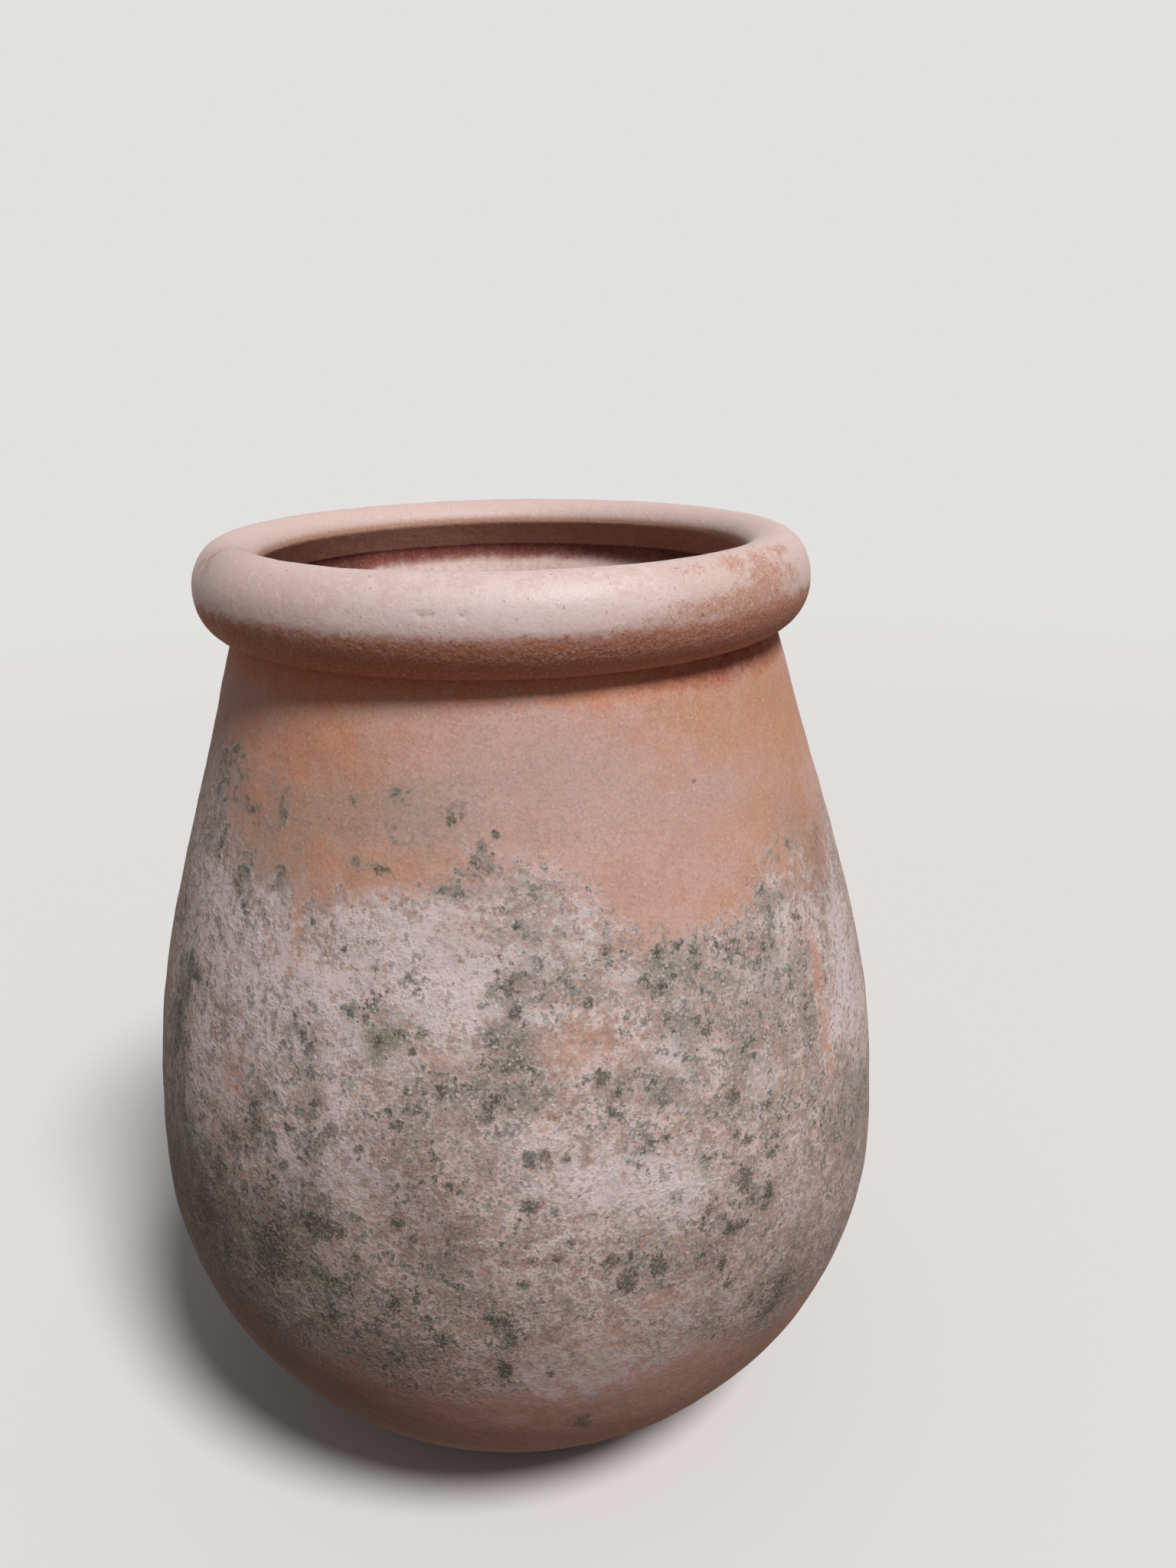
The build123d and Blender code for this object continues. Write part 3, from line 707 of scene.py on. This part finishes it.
class Value:
    """A shader socket that adds Math nodes when it stands in a sum."""

    def __init__(self, tree, socket):
        self.tree, self.socket = tree, socket

    def math(self, operation, *inputs):
        """Value of one Math node on the inputs."""
        return self.tree.add("ShaderNodeMath", {"operation": operation}, dict(enumerate(inputs)))

    def __add__(self, other):
        return self.math("ADD", self, other)

    def __sub__(self, other):
        return self.math("SUBTRACT", self, other)

    def __rsub__(self, other):
        return self.math("SUBTRACT", other, self)

    def __mul__(self, other):
        return self.math("MULTIPLY", self, other)

    __radd__, __rmul__ = __add__, __mul__

    def most(self, other):
        """The larger of two values."""
        return self.math("MAXIMUM", self, other)

    def step(self, low, high):
        """Soft step from 0 at low to 1 at high."""
        ranges = {"From Min": low, "From Max": high, "To Min": 0.0, "To Max": 1.0}
        return self.tree.add(
            "ShaderNodeMapRange", {"interpolation_type": "SMOOTHSTEP"}, {"Value": self, **ranges}
        )


class Finish:
    """A node tree that is being wired up."""

    def __init__(self, owner):
        owner.use_nodes = True
        self.tree = owner.node_tree
        self.tree.nodes.clear()

    def add(self, kind, settings=None, inputs=None, output=0):
        """Adds a node: its settings first, then the values or links of its sockets."""
        node = self.tree.nodes.new(kind)
        for name, value in (settings or {}).items():
            setattr(node, name, value)
        for name, value in (inputs or {}).items():
            if isinstance(value, Value):
                self.tree.links.new(value.socket, node.inputs[name])
            else:
                node.inputs[name].default_value = value
        return Value(self, node.outputs[output]) if node.outputs else None

    def mix(self, base, cover, amount, blend="MIX"):
        """Colour that turns from base to cover as amount goes from 0 to 1."""
        settings = {"data_type": "RGBA", "blend_type": blend}
        return self.add("ShaderNodeMix", settings, {0: amount, 6: base, 7: cover}, 2)

    def noise(self, place, size, detail=4.0, roughness=0.65, distortion=0.0):
        """Cloudy noise with clouds of about one size in millimetres, mostly between -2 and 2."""
        sizes = {"Scale": 1 / (size * MM), "Detail": detail}
        looks = {"Roughness": roughness, "Distortion": distortion}
        return (self.add("ShaderNodeTexNoise", {}, {"Vector": place, **sizes, **looks}) - 0.5) * CLOUD_GAIN

    def dots(self, place, apart, radius):
        """Soft round dots, one in each cell, from 0 to 1; radius is a share of the cell."""
        cells = {"Vector": place, "Scale": 1 / (apart * MM)}
        return (radius - self.add("ShaderNodeTexVoronoi", {}, cells)).step(-0.1, 0.07)

    def field(self, name):
        """Strength of a finish that the mesh holds."""
        settings = {"attribute_type": "GEOMETRY", "attribute_name": name}
        return self.add("ShaderNodeAttribute", settings, {}, "Fac")


class Coats:
    """The colour of the clay while one coat after another is laid on."""

    def __init__(self, make, colours, first):
        self.make, self.colours = make, colours
        self.colour = self.tone(first)

    def tone(self, name):
        """One of the jar's colours."""
        return (*getattr(self.colours, name), 1)

    def lay(self, cover, amount):
        """A coat in one of the jar's colours, or in a colour worked out before."""
        cover = self.tone(cover) if isinstance(cover, str) else cover
        self.colour = self.make.mix(self.colour, cover, amount)

    def darken(self, name, amount):
        """A shade that keeps back part of the light."""
        self.colour = self.make.mix(self.colour, (*SHADES[name], 1), amount, "MULTIPLY")


def paint(red, green, blue):
    """Linear colour from screen values of 0 to 255."""
    shares = [x / 255 for x in (red, green, blue)]
    return [x / 12.92 if x <= 0.04045 else ((x + 0.055) / 1.055) ** 2.4 for x in shares]


def spread(field, noise, reach, edge):
    """Cover with a ragged edge: the field's blobs, broken up by noise."""
    return (field - 0.5 + noise * reach).step(-edge / 2, edge / 2) * field.step(0.03, 0.3)


# Clouds in the clay: size in millimetres, detail, roughness and distortion.
CLOUDS = {
    "cloud": (38, 4, 0.6),
    "patch": (17, 5, 0.65, 0.6),
    "smear": (11, 4, 0.6, 0.4),
    "blotch": (8,),
    "blot": (5.5, 3, 0.55),
    "crumb": (3.0, 3),
    "grit": (1.3, 3),
    "sand": (0.75, 2, 0.6),
}
# Share of the red, green and blue light that each shade lets through.
SHADES = {
    "speckles": (0.86, 0.81, 0.77),
    "pits": (0.6, 0.54, 0.51),
    "clumps": (0.5, 0.52, 0.48),
    # The next two darken as painted shade.
    "painted_shade": (0.4, 0.37, 0.35),
    "deep_painted_shade": (0.45, 0.5, 0.52),
    "dark_grains": (0.55, 0.51, 0.47),
    "pores": (0.5, 0.42, 0.38),
    "streaks": (0.72, 0.62, 0.58),
}
STREAK_STRETCH = (1, 1, 0.08)


def clay_material(colours):
    """Gritty fired clay with everything that years outdoors left on it, and painted shade, painted bounce
    light and a painted highlight.
    """
    material = bpy.data.materials.new("weathered_clay")
    make = Finish(material)
    place = make.add("ShaderNodeTexCoord", {}, {}, "Object")
    field = {name: make.field(name) for name in FIELDS}
    pale = field["pale"]
    cloud, patch, smear, blotch, blot, crumb, grit, sand = (
        make.noise(place, *look) for look in CLOUDS.values()
    )
    fine = crumb * 0.7 + grit * 0.65 + sand * 0.15
    broad = cloud * 0.8 + blotch * 0.6
    tiny = grit * 0.8 + sand * 0.3

    # Bare clay, red clay with painted bounce light under the roll, the pale rim with a painted highlight,
    # and the thin films on the neck.
    coats = Coats(make, colours, "clay")
    coats.lay("clay_deep", broad.step(-0.8, 1.6) * 0.6)
    # Orange clay, and partly painted shade on the lip's underside.
    coats.lay("orange_clay_and_lip_shade", spread(field["orange_clay_and_lip_shade"], broad, 0.14, 1.1) * 0.95)
    # Red clay and painted bounce light in the roll's shadow.
    coats.lay("red_clay_and_painted_bounce", spread(field["red_clay_and_painted_bounce"], broad, 0.14, 1.1) * 0.9)
    coats.lay("pale", pale)
    handled = blotch * 0.6 + crumb * 0.5
    coats.lay("clay", handled.step(0, 2) * pale * 0.4)
    # Polished rim, with a painted highlight on its front.
    coats.lay("polished_tone_and_highlight", (handled + field["polish_and_painted_highlight"] * 3).step(0.2, 2.6) * pale * 0.8)
    coats.lay("veil", spread(field["veil"], patch * 0.4 + fine * 0.9, 0.25, 0.9) * 0.75)
    thin = spread(field["thin_stain"], patch * 0.6 + crumb * 0.7, 0.12, 1.3)
    coats.lay("weathered", thin * 0.6)
    coats.lay("stain", thin * 0.32)
    speckles = (crumb * 0.6 + grit * 0.6).step(-0.6, 2)
    coats.darken("speckles", speckles * (1 - pale) * 0.6)

    # Worn clay on the belly and the shoulder, with salt crust, dirt and film on it, and painted light at
    # the far left edge.
    worn_clay = Coats(make, colours, "weathered")
    worn_clay.lay("washed", (smear * 0.7 + blot * 0.5 + crumb * 0.5).step(-0.7, 0.7))
    peeled = (patch * 0.7 + blotch * 0.5 + crumb * 0.4).step(0.45, 1.0)
    worn_clay.lay(coats.colour, peeled * 0.5)
    worn = spread(field["weather"], patch * 0.4 + fine * 0.7, 0.3, 0.9)
    worn = worn * (1 - 0.85 * spread(field["orange_clay_and_lip_shade"], blotch * 0.6 + crumb * 0.6, 0.3, 0.7))
    coats.lay(worn_clay.colour, worn * 0.92)
    flakes = (blot * 0.8 + smear * 0.4 + crumb * 0.35).step(0.6, 1.0) * worn
    coats.lay("salt_bloom_and_edge_light", flakes * 0.4)
    lumps = make.dots(place, 5.4, 0.3 + blotch * 0.06 + crumb * 0.07) * worn
    coats.lay("salt_bloom_and_edge_light", lumps * 0.34)
    pebbles = make.dots(place, 3.3, 0.3 + smear * 0.07 + crumb * 0.05) * worn
    coats.lay("washed", pebbles * 0.4)
    # Salt crust, with painted light at the far left edge.
    crust = spread(field["salt_bloom_and_edge_light"], blotch * 0.6 + fine * 0.6, 0.35, 0.8)
    coats.lay("salt_bloom_and_edge_light", crust * 0.85)
    dull = worn * (1 - 0.6 * crust)
    ochre = (blotch * 0.7 - patch * 0.5 + crumb * 0.4).step(0.5, 1.0) * dull
    coats.lay("moss", ochre * 0.26)
    haze = (cloud * 0.5 + blotch * 0.7 + crumb * 0.4).step(0.3, 0.9) * dull
    coats.lay("stain", haze * 0.38)
    pits = (blot * 0.7 + smear * 0.4 + crumb * 0.6).step(-0.9, -1.3) * dull
    coats.darken("pits", pits * 0.45)
    film = spread(field["stain"], patch * 0.5 + blot * 0.4 + crumb * 0.4, 0.3, 1.1)
    coats.lay("stain", film * 0.75)
    coats.lay("moss", spread(field["green"], blotch * 0.5 + fine * 0.5, 0.3, 0.8) * 0.75)

    # What grows there: clumps on the shaded side, lichen and dark spots.
    lived_in = worn.most(film)
    shaded = field["aside"] * lived_in
    clumps = (smear * 0.5 + blot * 0.8 + crumb * 0.3).step(0.2, 0.9) * shaded
    coats.darken("clumps", clumps * 0.5)
    flaked = (blotch * 0.8 - patch * 0.3 + crumb * 0.3).step(0.3, 1.0) * shaded
    coats.lay("salt_bloom_and_edge_light", flaked * 0.4)
    crowd = patch * 0.4 + smear * 0.4 + film * 0.9 - crust * 0.6
    mottle = (crowd * 0.7 + blot * 0.7 + crumb * 0.5).step(0.8, 1.4)
    coats.lay("lichen", mottle * lived_in * 0.5)
    ragged = grit * 0.05 + crumb * 0.04
    small = make.dots(place, 3.4, crowd * 0.1 + 0.13 + ragged)
    large = make.dots(place, 6.5, crowd * 0.1 + 0.12 + ragged)
    coats.lay("spot", small * lived_in * 0.42)
    coats.lay("spot", large * lived_in * 0.64)
    flecks = make.dots(place, 2.6, crumb * 0.08 + blotch * 0.05 + 0.14)
    coats.lay("salt_bloom_and_edge_light", flecks * (0.2 + 0.35 * worn))
    coats.lay("spot", spread(field["spots"], fine, 0.13, 0.7) * 0.8)

    # Dirt and painted shade, rubbed places with painted shade under the roll, chips, and painted shade low
    # on the body.
    # Dirt and painted shade.
    coats.lay("dirt_and_painted_shade", spread(field["dirt_and_painted_shade"], blotch * 0.8 + crumb * 0.4, 0.09, 1.1) * 0.9)
    # Scuffs, with painted shade on the roll's underside.
    rub = spread(field["scuffs_and_painted_shade"], blotch * 0.7 + crumb * 0.5 + grit * 0.3, 0.18, 1.0)
    coats.lay("scuffs_and_painted_shade", rub * 0.75)
    coats.lay("chip", spread(field["chips"], fine, 0.12, 0.6) * 0.6)
    # Painted shade, and deeper painted shade at the lower left edge.
    coats.darken("painted_shade", field["painted_shade"])
    coats.darken("deep_painted_shade", field["deep_painted_shade"])

    # Grain of the clay, and streaks down the inside.
    rugged = 0.4 + 0.6 * worn.most(rub)
    coats.lay("grains", tiny.step(0.4, -2.0) * rugged * 0.24)
    coats.darken("dark_grains", tiny.step(0.2, 2.2) * rugged * 0.27)
    coats.darken("pores", (crumb * 0.7 + grit * 0.7).step(2.3, 2.8) * pale * 0.7)
    stretch = {0: place, 1: STREAK_STRETCH}
    run = make.add("ShaderNodeVectorMath", {"operation": "MULTIPLY"}, stretch)
    streaks = make.noise(run, 4.2, 3, 0.6).step(-0.3, 2.0)
    coats.darken("streaks", streaks * field["inside"] * 0.4)

    relief = blot * 0.7 + crumb * 0.7 + grit * 0.3 + crust * 0.6
    relief = relief + lumps * 0.8 + pebbles * 0.5 - large * 0.6
    height = {"Strength": 0.6, "Distance": 0.09 * MM, "Height": relief * rugged}
    looks = {
        "Base Color": coats.colour,
        "Roughness": 0.92 - 0.4 * pale + 0.3 * rub - 0.07 * field["polish_and_painted_highlight"],
        "Specular IOR Level": 0.36,
        "Normal": make.add("ShaderNodeBump", {}, height),
    }
    shader = make.add("ShaderNodeBsdfPrincipled", {}, looks)
    make.add("ShaderNodeOutputMaterial", {}, {"Surface": shader})
    return material


def dress(name):
    """Builds a section, gives it its material and ties it to the frame."""
    piece = build_section(name)
    bpy.context.collection.objects.link(piece)
    clay = bpy.data.materials.get("weathered_clay")
    if clay is None:
        clay = clay_material(bpy.context.scene.olive_jar_colours)
    piece.data.materials.append(clay)
    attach(piece, "root")
    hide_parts(name)


# Sizes and colours that can be changed.


def size(label, note, value):
    """Length in metres."""
    kind = {"unit": "LENGTH", "subtype": "DISTANCE"}
    return FloatProperty(name=label, description=note, default=value, min=0.0, **kind)


def share(label, note, value):
    """Share from 0 to 1."""
    limits = {"min": 0.0, "max": 1.0, "subtype": "FACTOR"}
    return FloatProperty(name=label, description=note, default=value, **limits)


def tone(label, note, *value):
    """Colour from screen values."""
    kind = {"size": 3, "min": 0, "max": 1, "subtype": "COLOR"}
    return FloatVectorProperty(name=label, description=note, default=paint(*value), **kind)


class JarShape(bpy.types.PropertyGroup):
    """Sizes of the jar."""

    height: size("Height", "Ground to the top of the rim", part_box("rim_roll")[1].z)
    foot_radius: size("Foot Radius", "Where the lower wall meets the ground", 99 * MM)
    belly_radius: size("Belly Radius", "Widest radius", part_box("belly_wall")[1].x)
    belly_height: size("Belly Height", "Height of the widest point", 165 * MM)
    neck_radius: size("Neck Radius", "Outside radius in the crease under the rim", 132 * MM)
    lower_corner_share: share("Lower Corner", "Where the slope of the foot reaches the belly line", 0.59)
    upper_corner_share: share("Upper Corner", "Where the slope of the neck starts", 0.262)
    roll_overhang: size("Roll Overhang", "How far the roll stands out", 16.5 * MM)
    roll_height: size("Roll Height", "Crease to the top of the rim", 43 * MM)
    mouth_inset: size("Mouth Inset", "How far the lip reaches in", 14.5 * MM)
    lip_drop: size("Lip Drop", "Top of the rim to the upright lip", 10.5 * MM)
    lip_land: size("Lip Land", "Height of the upright lip", 1 * MM)
    lip_undercut: size("Lip Undercut", "Step back below the lip", 7 * MM)
    lip_undercut_drop: size("Undercut Drop", "Height of that step", 12.5 * MM)
    throat_drop: size("Throat Drop", "Throat below the outer crease", 2 * MM)
    channel_drop: size("Channel Drop", "Deepest line of the hollow below the inner crease", 5 * MM)
    channel_depth: size("Channel Depth", "How far the hollow goes back", 1.5 * MM)
    wall: size("Wall", "Thickness of the walls", 12 * MM)
    base: size("Base", "Thickness of the base", 16 * MM)
    cove: size("Cove", "Hollow corner inside the base", 14 * MM)
    foot_edge: size("Foot Edge", "Worn edge of the foot", 5 * MM)
    joint_ridge: size("Joint Ridge", "Ridge in each hidden joint", 4 * MM)
    joint_shoulder_share: share("Joint Shoulder", "Flat shoulder beside the ridge", 0.28)
    lower_seam_share: share("Lower Seam", "Place of the seam under the belly", 0.55)
    shoulder_seam_share: share("Shoulder Seam", "Place of the seam above the belly", 0.5)
    neck_seam_share: share("Neck Seam", "Place of the seam in the neck", 0.7)
    tenon_rise_share: share("Tenon Rise", "How far the tenon reaches into the roll", 0.35)
    turns: IntProperty(name="Turns", description="Points round the jar", default=640, min=24)
    fine_step: size("Fine Step", "Distance between rows outside", 1.85 * MM)


class JarSurface(bpy.types.PropertyGroup):
    """How uneven the clay is."""

    lumps: size("Lumps", "Height of broad hand-made unevenness", 0.8 * MM)
    grain: size("Grain", "Height of small bumps", 0.32 * MM)
    rings: size("Rings", "Height of the throwing rings", 0.1 * MM)
    chip_depth: size("Chip Depth", "Depth of the chips in the rim", 0.7 * MM)


class JarColours(bpy.types.PropertyGroup):
    """Colours of the clay and of what covers it."""

    clay: tone("Clay", "Clean fired clay", 212, 172, 160)
    clay_deep: tone("Deep Clay", "Redder clay", 202, 158, 141)
    # Also partly painted shade on the lip's underside.
    orange_clay_and_lip_shade: tone("Orange Clay", "Warm tan clay", 206, 152, 124)
    # Also the painted bounce light in the roll's shadow on the neck.
    red_clay_and_painted_bounce: tone("Red Clay", "Red clay of the neck below the roll", 222, 150, 118)
    pale: tone("Pale Rim", "Handled pale clay", 220, 192, 184)
    # Polished rim tone, also used for the painted highlight on the rim's front.
    polished_tone_and_highlight: tone("Polished Rim", "Worn smooth top of the rim", 232, 209, 206)
    veil: tone("Veil", "Thin lilac veil", 202, 170, 163)
    weathered: tone("Weathered Clay", "Worn tan clay", 186, 164, 154)
    washed: tone("Washed Clay", "Washed out pink clay", 226, 204, 199)
    # Also painted light at the far left edge.
    salt_bloom_and_edge_light: tone("Salt Bloom", "Pale pink salt crust", 238, 223, 225)
    stain: tone("Stain", "Grey green film", 142, 138, 130)
    lichen: tone("Lichen", "Grey green specks", 112, 107, 99)
    moss: tone("Moss", "Green growth", 116, 124, 92)
    spot: tone("Spots", "Dark spots", 82, 82, 73)
    # Red brown dirt, also painted shade under the roll, in the crease and inside the mouth.
    dirt_and_painted_shade: tone("Grime", "Red brown dirt", 146, 62, 44)
    # Also painted shade on the roll's underside.
    scuffs_and_painted_shade: tone("Scuffs", "Orange brown rubbed places", 186, 127, 98)
    chip: tone("Chips", "Grey chipped places", 160, 154, 154)
    grains: tone("Grains", "Bright sand grains", 242, 228, 222)


# Operators.


class JAR_OT_base(bpy.types.Operator):
    """Builds the flat base that the jar stands on"""

    bl_idname = "olive_jar.base"
    bl_label = "Base"

    def execute(self, context):
        dress("base_disc")
        return {"FINISHED"}


class JAR_OT_walls(bpy.types.Operator):
    """Builds the lower wall, the belly and the shoulder"""

    bl_idname = "olive_jar.walls"
    bl_label = "Walls"

    def execute(self, context):
        for name in ("lower_wall", "belly_wall", "shoulder_wall"):
            dress(name)
        return {"FINISHED"}


class JAR_OT_neck(bpy.types.Operator):
    """Builds the neck with the hollow below the lip"""

    bl_idname = "olive_jar.neck"
    bl_label = "Neck"

    def execute(self, context):
        dress("neck_collar")
        return {"FINISHED"}


class JAR_OT_rim(bpy.types.Operator):
    """Builds the rolled rim"""

    bl_idname = "olive_jar.rim"
    bl_label = "Rim"

    def execute(self, context):
        dress("rim_roll")
        return {"FINISHED"}


class JAR_OT_stage(bpy.types.Operator):
    """Lays the floor, hangs the lights and sets up the camera"""

    bl_idname = "olive_jar.stage"
    bl_label = "Stage"

    def execute(self, context):
        scene = context.scene
        lay_floor()
        hang_lights(scene)
        place_camera(scene)
        scene.view_settings.view_transform = "Standard"
        return {"FINISHED"}


# The stage: screen colours, metres, degrees and strengths.
BACKDROP = (*paint(226, 225, 224), 1)
FLOOR_TONE = (*paint(234, 232, 230), 1)
BOUNCE_TONE = (*paint(104, 78, 60), 1)  # what the floor throws back on the jar
FLOOR_REACH, FLOOR_CORNERS = 6.0, 96
FLOOR_FADE = (0.8, 2.4)
LAMP_COLOUR, LAMP_STRENGTH, LAMP_SOFTNESS = (1.0, 0.99, 0.98), 2.85, 15
LAMP_SIDE, LAMP_RISE, LAMP_DISTANCE = 35, 56, 2
ROOM_COLOUR, ROOM_STRENGTH = (0.98, 0.98, 1.0, 1), 0.155
CAMERA_PLACE = (0.0394, -0.624, 0.554)
CAMERA_TILT, CAMERA_ROLL = 18.71, -0.78
SENSOR_MM, LENS_MM = 36.0, 29.0


def background_rays(make):
    """1 for rays that show the background: to the camera, in a shine or through glass."""
    paths = ("Is Camera Ray", "Is Glossy Ray", "Is Transmission Ray")
    camera, glossy, clear = (make.add("ShaderNodeLightPath", {}, {}, name) for name in paths)
    return camera.most(glossy).most(clear)


def lay_floor():
    """Pale floor that fades into the background."""
    mesh = bpy.data.meshes.new("floor")
    turn = np.linspace(0, 2 * pi, FLOOR_CORNERS, endpoint=False)
    ring = np.stack([np.cos(turn), np.sin(turn), 0 * turn], 1) * FLOOR_REACH
    mesh.from_pydata(ring.tolist(), [], [list(range(len(ring)))])
    floor = bpy.data.objects.new("floor", mesh)
    bpy.context.collection.objects.link(floor)
    material = bpy.data.materials.new("pale_floor")
    make = Finish(material)
    place = make.add("ShaderNodeTexCoord", {}, {}, "Object")
    away = make.add("ShaderNodeVectorMath", {"operation": "LENGTH"}, {0: place}, "Value")
    near = make.add("ShaderNodeBsdfDiffuse", {}, {"Color": FLOOR_TONE})
    bounce = make.add("ShaderNodeBsdfDiffuse", {}, {"Color": BOUNCE_TONE})
    far = make.add("ShaderNodeEmission", {}, {"Color": BACKDROP, "Strength": 1.0})
    shown = make.add("ShaderNodeMixShader", {}, {0: away.step(*FLOOR_FADE), 1: near, 2: far})
    surface = make.add("ShaderNodeMixShader", {}, {0: background_rays(make), 1: bounce, 2: shown})
    make.add("ShaderNodeOutputMaterial", {}, {"Surface": surface})
    mesh.materials.append(material)


def hang_lights(scene):
    """One large soft light high in front and to the right, and a dim room around it."""
    lamp = bpy.data.lights.new("key", "SUN")
    lamp.color, lamp.energy, lamp.angle = LAMP_COLOUR, LAMP_STRENGTH, radians(LAMP_SOFTNESS)
    key = bpy.data.objects.new("key", lamp)
    bpy.context.collection.objects.link(key)
    side, rise = radians(LAMP_SIDE), radians(LAMP_RISE)
    towards = Vector((sin(side) * cos(rise), -cos(side) * cos(rise), sin(rise)))
    key.location = LAMP_DISTANCE * towards
    key.rotation_euler = towards.to_track_quat("Z", "Y").to_euler()

    world = bpy.data.worlds.new("room")
    scene.world = world
    make = Finish(world)
    room = make.add("ShaderNodeBackground", {}, {"Color": ROOM_COLOUR, "Strength": ROOM_STRENGTH})
    pale = make.add("ShaderNodeBackground", {}, {"Color": BACKDROP, "Strength": 1.0})
    both = make.add("ShaderNodeMixShader", {}, {0: background_rays(make), 1: room, 2: pale})
    make.add("ShaderNodeOutputWorld", {}, {"Surface": both})


def place_camera(scene):
    """Camera at the height of a person who looks down at the jar from close by."""
    view = bpy.data.cameras.new("view")
    view.sensor_width, view.lens = SENSOR_MM, LENS_MM
    view.clip_start, view.clip_end = 0.01, 100.0
    camera = bpy.data.objects.new("view", view)
    bpy.context.collection.objects.link(camera)
    pitch = Matrix.Rotation(radians(90 - CAMERA_TILT), 4, "X")
    roll = Matrix.Rotation(radians(CAMERA_ROLL), 4, "Z")
    camera.matrix_world = Matrix.Translation(CAMERA_PLACE) @ (pitch @ roll)
    scene.camera = camera


class JAR_PT_panel(bpy.types.Panel):
    """Sidebar panel of the jar"""

    bl_label = "Olive Jar"
    bl_idname = "JAR_PT_panel"
    bl_space_type = "VIEW_3D"
    bl_region_type = "UI"
    bl_category = "Olive Jar"

    def draw(self, context):
        layout = self.layout
        for step in STEPS:
            layout.operator(step.bl_idname)
        for name, kind in GROUPS.items():
            box = layout.box()
            for value in kind.__annotations__:
                box.prop(getattr(context.scene, name), value)


STEPS = (JAR_OT_base, JAR_OT_walls, JAR_OT_neck, JAR_OT_rim, JAR_OT_stage)
GROUPS = {
    "olive_jar_shape": JarShape,
    "olive_jar_surface": JarSurface,
    "olive_jar_colours": JarColours,
}
CLASSES = (*GROUPS.values(), *STEPS, JAR_PT_panel)


def register():
    """Registers the classes and hangs the jar's sizes and colours on the scene."""
    for cls in CLASSES:
        bpy.utils.register_class(cls)
    for name, kind in GROUPS.items():
        setattr(bpy.types.Scene, name, PointerProperty(type=kind))


def unregister():
    """Takes away what register added."""
    for name in GROUPS:
        delattr(bpy.types.Scene, name)
    for cls in reversed(CLASSES):
        bpy.utils.unregister_class(cls)


def main():
    """Builds the jar and its stage."""
    register()
    bpy.ops.olive_jar.base()
    bpy.ops.olive_jar.walls()
    bpy.ops.olive_jar.neck()
    bpy.ops.olive_jar.rim()
    bpy.ops.olive_jar.stage()


if __name__ == "__main__":
    main()
